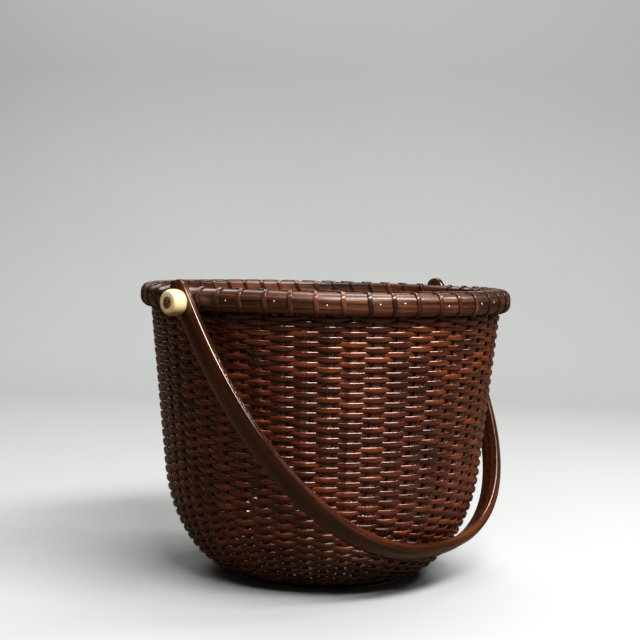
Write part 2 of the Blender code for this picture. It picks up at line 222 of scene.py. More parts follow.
@dataclass
class ShaderGroups:
    """The node groups that several finishes share, each built once."""

    fibre_detail: float = 4.0
    fibre_roughness: float = 0.62
    streak_detail: float = 2.0
    streak_stretch: Triple = (0.35, 0.22, 1.0)
    streak_height: float = 0.6
    patch_detail: float = 3.0
    fleck_detail: float = 2.0
    fleck_fineness: float = 14.0
    grain: Tree = field(init=False)
    ageing: Tree = field(init=False)

    def __post_init__(self) -> None:
        """Builds both groups."""
        self.grain = self._grain()
        self.ageing = self._ageing()

    def _grain(self) -> Tree:
        """Builds the fibres that run along a split or bent strip.

        Returns:
            A group from the run coordinates to fibre, streak and height values.
        """
        inputs = {"Run": "NodeSocketVector", "Length Scale": "NodeSocketFloat", "Width Scale": "NodeSocketFloat"}
        tree, entry, leave = new_group("strip_grain", inputs, ("Fibre", "Streak", "Height"))
        parts = add_node(tree, "ShaderNodeSeparateXYZ", {0: entry.outputs["Run"]}).outputs
        along = math_node(tree, "MULTIPLY", parts["X"], entry.outputs["Length Scale"])
        across = math_node(tree, "MULTIPLY", parts["Y"], entry.outputs["Width Scale"])
        place = add_node(tree, "ShaderNodeCombineXYZ", {0: along, 1: across, 2: parts["Z"]}).outputs[0]
        fibre = noise(tree, place, 1.0, self.fibre_detail, self.fibre_roughness)
        broad = add_node(tree, "ShaderNodeVectorMath", {0: place, 1: self.streak_stretch}, operation="MULTIPLY")
        streak = noise(tree, broad.outputs[0], 1.0, self.streak_detail)
        height = math_node(tree, "ADD", fibre, math_node(tree, "MULTIPLY", streak, self.streak_height))
        for name, value in (("Fibre", fibre), ("Streak", streak), ("Height", height)):
            tree.links.new(value, leave.inputs[name])
        return tree

    def _ageing(self) -> Tree:
        """Builds the uneven darkening of old varnish.

        Returns:
            A group from a scale to a patch value and a fleck value.
        """
        tree, entry, leave = new_group("varnish_ageing", {"Scale": "NodeSocketFloat"}, ("Patch", "Fleck"))
        scale = entry.outputs["Scale"]
        place = tree.nodes.new("ShaderNodeTexCoord").outputs["Object"]
        patch = noise(tree, place, scale, self.patch_detail)
        fleck = noise(tree, place, math_node(tree, "MULTIPLY", scale, self.fleck_fineness), self.fleck_detail)
        for name, value in (("Patch", patch), ("Fleck", fleck)):
            tree.links.new(value, leave.inputs[name])
        return tree


# Finishes


@dataclass(frozen=True)
class Finish:
    """What the finishes of the basket share."""

    name: str

    def _start(self) -> tuple[Material, Tree, Node]:
        """Starts the material.

        Returns:
            The material, its node tree and its shader.
        """
        material = bpy.data.materials.new(self.name)
        material.use_nodes = True
        tree = material.node_tree
        return material, tree, tree.nodes["Principled BSDF"]

    def _vary_gloss(self, tree: Tree, shader: Node, fleck: Socket, limits: tuple[float, float]) -> None:
        """Makes some flecks of the surface duller than others.

        Args:
            tree: The material's node tree.
            shader: The material's shader.
            fleck: The fleck value.
            limits: The least and the most roughness.
        """
        names = ("From Min", "From Max", "To Min", "To Max")
        inputs = {"Value": fleck, **dict(zip(names, (*NOISE_SPAN, *limits)))}
        rough = add_node(tree, "ShaderNodeMapRange", inputs).outputs[0]
        tree.links.new(rough, shader.inputs["Roughness"])

    def _raise_surface(self, tree: Tree, shader: Node, height: Socket, strength: float, depth: float) -> None:
        """Gives the surface its fine relief.

        Args:
            tree: The material's node tree.
            shader: The material's shader.
            height: The relief's height value.
            strength: The relief's strength.
            depth: The relief's depth in metres.
        """
        bump = add_node(tree, "ShaderNodeBump", {"Height": height, "Strength": strength, "Distance": depth})
        tree.links.new(bump.outputs["Normal"], shader.inputs["Normal"])


@dataclass(frozen=True)
class VarnishedStrip(Finish):
    """A wood or cane strip under old glossy varnish, with its grain along the strip."""

    dark: Triple
    middle: Triple
    light: Triple
    stops: Triple = (0.30, 0.50, 0.72)
    length_scale: float = 60.0
    width_scale: float = 1500.0
    patch_scale: float = 22.0
    fibre_strength: float = 0.45
    streak_strength: float = 0.75
    patch_strength: float = 0.55
    spread: float = 1.0
    roughness: tuple[float, float] = (0.26, 0.5)
    shine: float = 0.35
    tint: Triple = (1.0, 0.60, 0.42)
    coat: float = 0.3
    coat_roughness: float = 0.12
    bump: float = 0.25
    bump_depth: float = 0.2 * MM

    def build(self, groups: ShaderGroups) -> Material:
        """Makes the material.

        Args:
            groups: The shared shader groups.

        Returns:
            The finished material.
        """
        material, tree, shader = self._start()
        run = add_node(tree, "ShaderNodeAttribute", attribute_name="run").outputs["Vector"]
        scales = {"Run": run, "Length Scale": self.length_scale, "Width Scale": self.width_scale}
        grain = add_node(tree, "ShaderNodeGroup", scales, node_tree=groups.grain).outputs
        age = add_node(tree, "ShaderNodeGroup", {"Scale": self.patch_scale}, node_tree=groups.ageing).outputs
        strengths = (self.fibre_strength * self.spread, self.streak_strength * self.spread, self.patch_strength)
        values = (grain["Fibre"], grain["Streak"], age["Patch"])
        fibre, streak, patch = (math_node(tree, "MULTIPLY", *pair) for pair in zip(values, strengths))
        total = math_node(tree, "ADD", math_node(tree, "ADD", fibre, streak), patch)
        centred = math_node(tree, "ADD", total, 0.5 - 0.5 * sum(strengths))
        colour = ramp(tree, centred, self.stops, (self.dark, self.middle, self.light))
        tree.links.new(colour, shader.inputs["Base Color"])
        self._vary_gloss(tree, shader, age["Fleck"], self.roughness)
        shader.inputs["Specular IOR Level"].default_value = self.shine
        shader.inputs["Specular Tint"].default_value = (*self.tint, 1.0)
        shader.inputs["Coat Weight"].default_value = self.coat
        shader.inputs["Coat Roughness"].default_value = self.coat_roughness
        self._raise_surface(tree, shader, grain["Height"], self.bump, self.bump_depth)
        return material


@dataclass(frozen=True)
class PolishedBone(Finish):
    """Cream bone, yellower in patches, with fine darker pores, and painted amber shade towards its edges as the
    camera sees them.
    """

    name: str = "polished_bone"
    pale: Triple = (0.84, 0.71, 0.42)
    yellow: Triple = (0.74, 0.57, 0.26)
    edge_shade_amber: Triple = (0.62, 0.36, 0.10)
    stops: tuple[float, float] = (0.32, 0.62)
    patch_scale: float = 90.0
    edge_shade_blend: float = 0.35
    roughness: tuple[float, float] = (0.22, 0.4)
    glow: float = 0.15
    glow_reach: Triple = (4.0 * MM, 3.0 * MM, 1.5 * MM)
    bump: float = 0.12
    bump_depth: float = 0.2 * MM

    def build(self, groups: ShaderGroups) -> Material:
        """Makes the material.

        Args:
            groups: The shared shader groups.

        Returns:
            The finished material.
        """
        material, tree, shader = self._start()
        age = add_node(tree, "ShaderNodeGroup", {"Scale": self.patch_scale}, node_tree=groups.ageing).outputs
        colour = ramp(tree, age["Patch"], self.stops, (self.yellow, self.pale))
        # Painted shade: the colour turns a deeper amber where the camera sees the knob's surface at a slant,
        # standing in for the shade round its edges.
        edge = add_node(tree, "ShaderNodeLayerWeight", {"Blend": self.edge_shade_blend}).outputs["Facing"]
        edge_shaded_colour = mix_colours(tree, edge, colour, (*self.edge_shade_amber, 1.0))
        tree.links.new(edge_shaded_colour, shader.inputs["Base Color"])
        self._vary_gloss(tree, shader, age["Fleck"], self.roughness)
        shader.inputs["Subsurface Weight"].default_value = self.glow
        shader.inputs["Subsurface Radius"].default_value = self.glow_reach
        self._raise_surface(tree, shader, age["Fleck"], self.bump, self.bump_depth)
        return material


@dataclass(frozen=True)
class AgedBrass(Finish):
    """Tarnished brass with brighter worn spots."""

    name: str = "aged_brass"
    tarnish: Triple = (0.085, 0.045, 0.018)
    worn: Triple = (0.36, 0.22, 0.085)
    stops: tuple[float, float] = (0.42, 0.68)
    patch_scale: float = 160.0
    roughness: tuple[float, float] = (0.35, 0.6)
    metallic: float = 0.55

    def build(self, groups: ShaderGroups) -> Material:
        """Makes the material.

        Args:
            groups: The shared shader groups.

        Returns:
            The finished material.
        """
        material, tree, shader = self._start()
        age = add_node(tree, "ShaderNodeGroup", {"Scale": self.patch_scale}, node_tree=groups.ageing).outputs
        colour = ramp(tree, age["Patch"], self.stops, (self.tarnish, self.worn))
        tree.links.new(colour, shader.inputs["Base Color"])
        self._vary_gloss(tree, shader, age["Fleck"], self.roughness)
        shader.inputs["Metallic"].default_value = self.metallic
        return material


@dataclass(frozen=True)
class PaleStage(Finish):
    """The even pale paint of the floor and the backdrop, which throws a darker, warmer light back."""

    name: str = "pale_stage"
    colour: Triple = (0.38, 0.39, 0.38)
    bounce: Triple = (0.14, 0.075, 0.035)
    lift: float = 1.03
    stops: tuple[float, float] = NOISE_SPAN
    cloud_scale: float = 3.0
    cloud_detail: float = 2.0
    roughness: float = 0.8

    def build(self) -> Material:
        """Makes the material.

        Returns:
            The finished material.
        """
        material, tree, shader = self._start()
        place = tree.nodes.new("ShaderNodeTexCoord").outputs["Object"]
        cloud = noise(tree, place, self.cloud_scale, self.cloud_detail)
        lighter = tuple(min(channel * self.lift, 1.0) for channel in self.colour)
        seen = ramp(tree, cloud, self.stops, (self.colour, lighter))
        bounced = (*(channel * kept for channel, kept in zip(self.colour, self.bounce)), 1.0)
        camera = tree.nodes.new("ShaderNodeLightPath").outputs["Is Camera Ray"]
        tree.links.new(mix_colours(tree, camera, bounced, seen), shader.inputs["Base Color"])
        shader.inputs["Roughness"].default_value = self.roughness
        return material


@dataclass
class Finishes:
    """Every finish of the basket, built once."""

    groups: ShaderGroups = field(default_factory=ShaderGroups)
    weave: Material = field(init=False)
    stave: Material = field(init=False)
    hoop: Material = field(init=False)
    lashing: Material = field(init=False)
    handle: Material = field(init=False)
    base: Material = field(init=False)
    bone: Material = field(init=False)
    brass: Material = field(init=False)
    nail: Material = field(init=False)

    def __post_init__(self) -> None:
        """Builds the materials."""
        groups = self.groups
        self.weave = VarnishedStrip(
            "varnished_weave",
            dark=(0.013, 0.0019, 0.0007),
            middle=(0.052, 0.0083, 0.0024),
            light=(0.18, 0.037, 0.0085),
            length_scale=90.0,
            width_scale=900.0,
            patch_scale=26.0,
            patch_strength=0.42,
            roughness=(0.22, 0.38),
            shine=0.42,
            coat=1.0,
            coat_roughness=0.08,
            bump=0.15,
        ).build(groups)
        self.stave = VarnishedStrip(
            "varnished_stave",
            dark=(0.018, 0.0054, 0.0027),
            middle=(0.070, 0.0225, 0.0108),
            light=(0.20, 0.072, 0.034),
            length_scale=45.0,
            width_scale=2200.0,
            roughness=(0.3, 0.5),
            bump=0.4,
        ).build(groups)
        self.hoop = VarnishedStrip(
            "varnished_hoop",
            dark=(0.008, 0.0027, 0.0015),
            middle=(0.044, 0.0145, 0.0070),
            light=(0.17, 0.055, 0.024),
            length_scale=30.0,
            width_scale=1300.0,
            spread=1.35,
            roughness=(0.28, 0.44),
            shine=0.5,
            tint=(1.0, 0.80, 0.68),
            coat=0.22,
            coat_roughness=0.14,
            bump=0.45,
            bump_depth=0.3 * MM,
        ).build(groups)
        self.lashing = VarnishedStrip(
            "varnished_lashing",
            dark=(0.011, 0.0034, 0.0018),
            middle=(0.034, 0.0104, 0.0050),
            light=(0.13, 0.038, 0.0135),
            length_scale=80.0,
            width_scale=1100.0,
            patch_scale=34.0,
            patch_strength=0.65,
            coat=0.5,
        ).build(groups)
        self.handle = VarnishedStrip(
            "varnished_handle",
            dark=(0.009, 0.0020, 0.0005),
            middle=(0.026, 0.0058, 0.0013),
            light=(0.10, 0.026, 0.0060),
            length_scale=22.0,
            width_scale=900.0,
            patch_scale=14.0,
            patch_strength=0.45,
            roughness=(0.16, 0.22),
            shine=0.3,
            coat=1.0,
            coat_roughness=0.06,
            bump=0.01,
        ).build(groups)
        self.base = VarnishedStrip(
            "varnished_base",
            dark=(0.012, 0.0042, 0.0022),
            middle=(0.040, 0.0135, 0.0062),
            light=(0.10, 0.034, 0.014),
            length_scale=30.0,
            width_scale=500.0,
            roughness=(0.35, 0.55),
            coat=0.2,
        ).build(groups)
        self.bone = PolishedBone().build(groups)
        self.brass = AgedBrass().build(groups)
        self.nail = AgedBrass(
            "rubbed_nail", tarnish=(0.55, 0.42, 0.26), worn=(0.85, 0.74, 0.55), roughness=(0.2, 0.35), metallic=0.8
        ).build(groups)


# Shared form


@dataclass(frozen=True)
class BasketForm:
    """Sizes that the pieces share, as the solids have them, in metres."""

    stave_count: int = 49
    rim_radius: float = 0.1145
    rim_top: float = 0.178
    hoop_height: float = 0.0128
    outer_hoop_thickness: float = 0.0051
    inner_hoop_thickness: float = 0.0045
    taper: float = 0.103
    kerf_height: float = 0.0044
    kerf_depth: float = 0.0085
    bend_top: float = 0.0664
    base_radius: float = 0.0547
    stave_thickness: float = 0.0014
    fit: float = 0.0003

    @property
    def pitch(self) -> float:
        """Angle from one stave to the next."""
        return math.tau / self.stave_count

    @property
    def hoop_bottom(self) -> float:
        """Height of the hoops' undersides."""
        return self.rim_top - self.hoop_height

    @property
    def line_top_radius(self) -> float:
        """Radius of the middle of the staves at the rim's top."""
        return self.rim_radius - self.outer_hoop_thickness - self.fit - self.stave_thickness / 2

    @property
    def foot_radius(self) -> float:
        """Radius at which the staves leave the base."""
        return self.base_radius + self.fit

    @property
    def inner_hoop_radius(self) -> float:
        """Radius of the inner hoop's inner face."""
        seat = self.line_top_radius - self.taper * self.hoop_height - self.stave_thickness / 2 - self.fit
        return seat - self.inner_hoop_thickness

    def radius(self, height: float) -> float:
        """Radius of the straight stave line at a height."""
        return self.line_top_radius - self.taper * (self.rim_top - height)

    def bend(self, share: float) -> Vector:
        """Place in the bend of the staves.

        Args:
            share: From 0 at the base to 1 at the top of the bend.

        Returns:
            The radius and the height.
        """
        angle = share * math.pi / 2
        height = self.kerf_height + (self.bend_top - self.kerf_height) * (1.0 - math.cos(angle))
        reach = self.radius(self.kerf_height) - self.foot_radius
        return Vector((self.radius(height) - reach * (1.0 - math.sin(angle)), height))


@dataclass
class StaveLine:
    """The stave line, measured along its length from the base's edge."""

    form: BasketForm
    steps: int = 240
    places: list[Vector] = field(init=False)
    lengths: list[float] = field(init=False)

    def __post_init__(self) -> None:
        """Measures the bend and the straight wall."""
        form = self.form
        self.places = [form.bend(step / self.steps) for step in range(self.steps + 1)]
        rise = (form.rim_top - form.bend_top) / self.steps
        for step in range(1, self.steps + 1):
            height = form.bend_top + rise * step
            self.places.append(Vector((form.radius(height), height)))
        self.lengths = [0.0]
        for before, after in zip(self.places, self.places[1:]):
            self.lengths.append(self.lengths[-1] + (after - before).length)

    def length_at(self, height: float) -> float:
        """Length along the line at which it reaches a height."""
        index = next(i for i, place in enumerate(self.places) if place.y >= height - TOUCH)
        return self.lengths[index]

    def at(self, length: float) -> tuple[Vector, Vector, Vector]:
        """The line's place, direction and outward normal.

        Args:
            length: Distance along the line from the base's edge, which may be below zero.

        Returns:
            Place (radius, height), unit direction up the wall, and unit normal outwards.
        """
        if length <= 0.0:
            return self.places[0] + Vector((length, 0.0)), Vector((1.0, 0.0)), Vector((0.0, -1.0))
        low, high = 0, len(self.lengths) - 2
        while low < high:
            middle = (low + high + 1) // 2
            if self.lengths[middle] <= length:
                low = middle
            else:
                high = middle - 1
        share = (length - self.lengths[low]) / (self.lengths[low + 1] - self.lengths[low])
        direction = self._direction(low).lerp(self._direction(low + 1), share).normalized()
        place = self.places[low].lerp(self.places[low + 1], share)
        return place, direction, Vector((direction.y, -direction.x))

    def _direction(self, index: int) -> Vector:
        """Direction of the line at a measured place.

        Args:
            index: The place's number.

        Returns:
            The unit direction up the line.
        """
        before = self.places[max(index - 1, 0)]
        after = self.places[min(index + 1, len(self.places) - 1)]
        return (after - before).normalized()


def around(angle: float) -> tuple[Vector, Vector]:
    """Radial and tangential directions at an angle round the basket."""
    return Vector((math.cos(angle), math.sin(angle), 0.0)), Vector((-math.sin(angle), math.cos(angle), 0.0))


# Mesh tools


def finish_piece(
    name: str,
    shape: Shape,
    material: Material,
    body: Body,
    replaced: tuple[str, ...] = (),
    sharp_degrees: float = 45.0,
) -> None:
    """Turns a bmesh into a piece that rides on a body.

    Args:
        name: The piece's name.
        shape: Its mesh, in the basket's frame; it is freed.
        material: Its finish.
        body: The body that it rides on.
        replaced: The CAD nodes that it stands for.
        sharp_degrees: Edges that turn more than this stay sharp.
    """
    bmesh.ops.recalc_face_normals(shape, faces=shape.faces)
    mesh = bpy.data.meshes.new(name)
    shape.to_mesh(mesh)
    shape.free()
    mesh.shade_smooth()
    mesh.set_sharp_from_angle(angle=math.radians(sharp_degrees))
    mesh.materials.append(material)
    piece = bpy.data.objects.new(name, mesh)
    bpy.context.scene.collection.objects.link(piece)
    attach(piece, body.value)
    if replaced:
        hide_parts(*replaced)
    LOG.info("%s: %d faces on %s", name, len(mesh.polygons), body.value)


def tube(rings: Stations, runs: Stations) -> Shape:
    """Rolls a grid into a tube through a list of stations and closes its ends.

    Args:
        rings: The section's points at each station.
        runs: The run coordinates of the same points.

    Returns:
        The closed tube, with its run coordinates in a vertex layer.
    """
    shape = bmesh.new()
    layer = shape.verts.layers.float_vector.new("run")
    along, over = len(rings) - 1, len(rings[0])
    bmesh.ops.create_grid(shape, x_segments=along, y_segments=over, size=1.0)
    for vertex in shape.verts:
        station = round((vertex.co.x + 1.0) / 2.0 * along)
        side = round((vertex.co.y + 1.0) / 2.0 * over) % over
        vertex.co = rings[station][side]
        vertex[layer] = runs[station][side]
    bmesh.ops.remove_doubles(shape, verts=shape.verts, dist=SEAM_DISTANCE)
    rims = [edge for edge in shape.edges if edge.is_boundary]
    bmesh.ops.holes_fill(shape, edges=rims, sides=0)
    return shape


def oval(half_thickness: float, half_width: float, sides: int, squareness: float) -> Outline:
    """Points of a rounded flat section.

    Args:
        half_thickness: Half the section's thickness.
        half_width: Half the section's width.
        sides: Number of points.
        squareness: 2 for an ellipse, more for fuller corners.

    Returns:
        Thickness and width of each point from the section's middle.
    """
    points = []
    power = 2.0 / squareness
    for side in range(sides):
        angle = math.tau * (side + 0.5) / sides
        out = math.copysign(abs(math.cos(angle)) ** power, math.cos(angle)) * half_thickness
        over = math.copysign(abs(math.sin(angle)) ** power, math.sin(angle)) * half_width
        points.append((out, over))
    return points


def turned(
    profile: Outline, steps: int, axis: Axis = Axis.UPRIGHT, height: float = 0.0, seed: float = 0.0
) -> Shape:
    """Spins a closed outline round an axis and lays the run coordinates round it.

    Args:
        profile: Radius and place along the axis of each point.
        steps: Steps of the spin.
        axis: The axis that it is turned on.
        height: Height of the pivot axis.
        seed: Third run coordinate, which shifts the grain.

    Returns:
        The closed solid, with its run coordinates in a vertex layer.
    """
    shape = bmesh.new()
    layer = shape.verts.layers.float_vector.new("run")
    centre = UP * height
    ahead = Vector((1.0, 0.0, 0.0))
    direction, across = (ahead, UP) if axis is Axis.PIVOT else (UP, ahead)
    corners = [shape.verts.new(centre + across * radius + direction * along) for radius, along in profile]
    edges = [shape.edges.new(pair) for pair in zip(corners, corners[1:] + corners[:1])]
    bmesh.ops.spin(
        shape, geom=corners + edges, cent=centre, axis=direction, angle=math.tau, steps=steps, use_merge=True
    )
    bmesh.ops.remove_doubles(shape, verts=shape.verts, dist=POLE_DISTANCE)
    for vertex in shape.verts:
        place = vertex.co - centre
        if axis is Axis.PIVOT:
            angle = math.atan2(place.z, place.y)
            vertex[layer] = Vector((place.x, angle * KNOB_GIRTH, seed))
        else:
            angle = math.atan2(place.y, place.x)
            reach = math.hypot(place.x, place.y)
            vertex[layer] = Vector((angle * reach, place.z + reach * GRAIN_SLOPE, seed))
    return shape


def rounded(points: list[Triple], steps: int = 4) -> Outline:
    """Rounds the corners of a closed outline.

    Args:
        points: Both coordinates and the rounding's radius at each corner, 0 for a sharp one.
        steps: Pieces of each rounding's arc.

    Returns:
        The outline's points.
    """
    outline = []
    count = len(points)
    for index, (across, up, radius) in enumerate(points):
        corner = Vector((across, up))
        if radius <= 0.0:
            outline.append((across, up))
            continue
        before = (Vector(points[index - 1][:2]) - corner).normalized()
        after = (Vector(points[(index + 1) % count][:2]) - corner).normalized()
        half = before.angle(after) / 2
        centre = corner + (before + after).normalized() * (radius / math.sin(half))
        start = corner + before * (radius / math.tan(half)) - centre
        end = corner + after * (radius / math.tan(half)) - centre
        full = start.angle(end)
        for step in range(steps + 1):
            part = full * step / steps
            arm = (start * math.sin(full - part) + end * math.sin(part)) / math.sin(full)
            outline.append(tuple(centre + arm))
    return outline


def quarter_arc(centre: Vector, radius: float, start: float, steps: int) -> list[tuple[float, Vector, Vector]]:
    """Stations along a quarter of a circle.

    Args:
        centre: The circle's centre.
        radius: The circle's radius.
        start: The first station's angle in degrees.
        steps: Pieces of the arc.

    Returns:
        Share gone by, place and outward normal at each station.
    """
    stations = []
    for step in range(steps + 1):
        angle = math.radians(start + QUARTER * step / steps)
        normal = Vector((math.cos(angle), math.sin(angle)))
        stations.append((step / steps, centre + normal * radius, normal))
    return stations


# Sub-assemblies


@dataclass
class WovenWall:
    """One cane weaver wound up the staves, over one and under one."""

    form: BasketForm
    line: StaveLine
    row_width: float = 2.85 * MM
    half_width: float = 1.73 * MM
    half_thickness: float = 0.66 * MM
    squareness: float = 3.0
    swing: float = 1.28 * MM
    wave_power: float = 1.15
    dive_pinch: float = 0.10
    samples: int = 8
    sides: int = 10
    bands: int = 4
    first_length: float = 0.05 * MM
    top_gap: float = 0.35 * MM
    level_turns: float = 0.8
    first_turns: float = 0.92
    tight_share: float = 0.75
    tight_length: float = 40 * MM
    wobble: float = 0.02 * MM
    # The wobble's beat, how far it drifts, and the drift's own beat.
    wobble_beats: Triple = (2.399, 3.1, 0.37)
    lean: float = 0.05 * MM
    lean_beat: float = 1.713
    lean_start: float = 2.0
    run_stretch: float = 0.1
    seed_step: float = 0.61803
    seed_range: float = 7.0
    sharp_degrees: float = 80.0
    rows: int = field(init=False)
    row: float = field(init=False)

    def __post_init__(self) -> None:
        """Spaces the rows so that they fill the wall from the base to the hoop."""
        top = self.line.length_at(self.form.hoop_bottom - self.top_gap)
        room = top - self.first_length - 2.0 * self.half_width
        self.rows = round(room / self.row_width)
        self.row = room / self.rows

    def _weave(self, crossing: float) -> float:
        """Offset of the weaver from the stave line, as a share of its swing."""
        wave = math.cos(math.pi * crossing)
        return math.copysign(abs(wave) ** self.wave_power, wave)

    def _band(self, rows: range) -> Shape:
        """Winds one band of rows.

        Args:
            rows: The rows that it holds.

        Returns:
            The weaver of that band.
        """
        per_turn = self.form.stave_count * self.samples
        section = oval(self.half_thickness, self.half_width, self.sides, self.squareness)
        rings, runs = [], []
        first = rows.start - (self.first_turns if rows.start == 0 else 0.0)
        last = rows.stop + (self.level_turns if rows.stop == self.rows else 0.0)
        for step in range(round(first * per_turn), round(last * per_turn) + 1):
            ring, run = self._station(step, section)
            rings.append(ring)
            runs.append(run)
        return tube(rings, runs)

    def _station(self, step: int, section: Outline) -> tuple[list[Vector], list[Vector]]:
        """Where the weaver's section goes on the wall.

        Args:
            step: Samples from the weaver's start.
            section: Thickness and width of each point of the section.

        Returns:
            The section's points and their run coordinates.
        """
        pitch = self.form.pitch
        crossing = step / self.samples
        turns = crossing / self.form.stave_count
        length = self.first_length + self.half_width + self.row * min(max(turns, 0.0), float(self.rows))
        place, direction, normal = self.line.at(length)
        ease = min(1.0, self.tight_share + length / self.tight_length)
        beat, drift, drift_beat = self.wobble_beats
        wobble = self.wobble * math.sin(crossing * beat + drift * math.sin(crossing * drift_beat))
        lean = self.lean * math.sin(crossing * self.lean_beat + self.lean_start)
        wave = self._weave(crossing)
        offset = wave * (self.swing + wobble) * ease
        fullness = 1.0 - self.dive_pinch * (1.0 - wave * wave)
        radial, _ = around(math.pi + crossing * pitch)
        spread = crossing * pitch * self.run_stretch
        seed = (turns * self.seed_step) % 1.0 * self.seed_range
        ring, run = [], []
        for out, over in section:
            flat = place + normal * (offset + out) + direction * (over * fullness + lean)
            ring.append(Vector((radial.x * flat.x, radial.y * flat.x, flat.y)))
            run.append(Vector((spread, over, seed)))
        return ring, run

    def build(self, finishes: Finishes) -> None:
        """Winds the weaver in bands and dresses them.

        Args:
            finishes: The basket's finishes.
        """
        borders = [round(self.rows * band / self.bands) for band in range(self.bands + 1)]
        for band in range(self.bands):
            finish_piece(
                f"weaver_band_{band + 1}",
                self._band(range(borders[band], borders[band + 1])),
                finishes.weave,
                Body.BASKET,
                ("woven_wall",) if band == 0 else (),
                self.sharp_degrees,
            )


@dataclass
class Staves:
    """The split staves, from the base's kerf to the rim."""

    form: BasketForm
    line: StaveLine
    top_width: float = 4.8 * MM
    foot_width: float = 3.0 * MM
    top_drop: float = 3.2 * MM
    squareness: float = 5.0
    stations: int = 30
    sides: int = 8
    seed_step: float = 0.37

    def _width(self, radius: float) -> float:
        """Width of a stave at a radius."""
        share = (radius - self.form.foot_radius) / (self.form.line_top_radius - self.form.foot_radius)
        return self.foot_width + (self.top_width - self.foot_width) * max(share, 0.0)

    def _stave(self, index: int) -> Shape:
        """Models one stave.

        Args:
            index: Its number round the basket, from 0.

        Returns:
            Its mesh.
        """
        form = self.form
        radial, tangential = around(math.pi + index * form.pitch)
        start = -(form.kerf_depth + form.fit)
        end = self.line.length_at(form.rim_top - self.top_drop)
        rings, runs = [], []
        for station in range(self.stations + 1):
            length = start + (end - start) * station / self.stations
            place, _, normal = self.line.at(length)
            ring, run = [], []
            for out, over in oval(form.stave_thickness / 2, self._width(place.x) / 2, self.sides, self.squareness):
                flat = place + normal * out
                ring.append(radial * flat.x + tangential * over + UP * flat.y)
                run.append(Vector((length, over, index * self.seed_step)))
            rings.append(ring)
            runs.append(run)
        return tube(rings, runs)

    def build(self, finishes: Finishes) -> None:
        """Models and dresses every stave.

        Args:
            finishes: The basket's finishes.
        """
        for index in range(self.form.stave_count):
            node = f"stave_{index + 1:02d}"
            finish_piece(f"split_{node}", self._stave(index), finishes.stave, Body.BASKET, (node,))


@dataclass
class TurnedBase:
    """The turned disc with its kerf and its two turned grooves."""

    form: BasketForm
    height: float = 9.0 * MM
    edge_round: float = 2.2 * MM
    top_round: float = 1.2 * MM
    kerf_round: float = 0.3 * MM
    groove_radii: tuple[float, float] = (42.0 * MM, 17.0 * MM)
    groove_half_width: float = 1.6 * MM
    groove_half_floor: float = 0.6 * MM
    groove_depth: float = 0.8 * MM
    groove_lip_round: float = 0.4 * MM
    groove_floor_round: float = 0.3 * MM
    grain_shift: float = 0.3
    steps: int = 128

    def build(self, finishes: Finishes) -> None:
        """Models and dresses the base.

        Args:
            finishes: The basket's finishes.
        """
        form = self.form
        half = form.stave_thickness / 2 + form.fit
        low, high = form.kerf_height - half, form.kerf_height + half
        edge, floor = form.base_radius, form.base_radius - form.kerf_depth
        points = [
            (0.0, 0.0, 0.0),
            (edge, 0.0, self.edge_round),
            (edge, low, self.kerf_round),
            (floor, low, 0.0),
            (floor, high, 0.0),
            (edge, high, self.kerf_round),
            (edge, self.height, self.top_round),
        ]
        sunk = self.height - self.groove_depth
        for ring in self.groove_radii:
            points += [
                (ring + self.groove_half_width, self.height, self.groove_lip_round),
                (ring + self.groove_half_floor, sunk, self.groove_floor_round),
                (ring - self.groove_half_floor, sunk, self.groove_floor_round),
                (ring - self.groove_half_width, self.height, self.groove_lip_round),
            ]
        points.append((0.0, self.height, 0.0))
        shape = turned(rounded(points), self.steps)
        layer = shape.verts.layers.float_vector["run"]
        for vertex in shape.verts:
            vertex[layer] = Vector((vertex.co.x, vertex.co.y + vertex.co.z, self.grain_shift))
        finish_piece("turned_base_disc", shape, finishes.base, Body.BASKET, ("turned_base",))


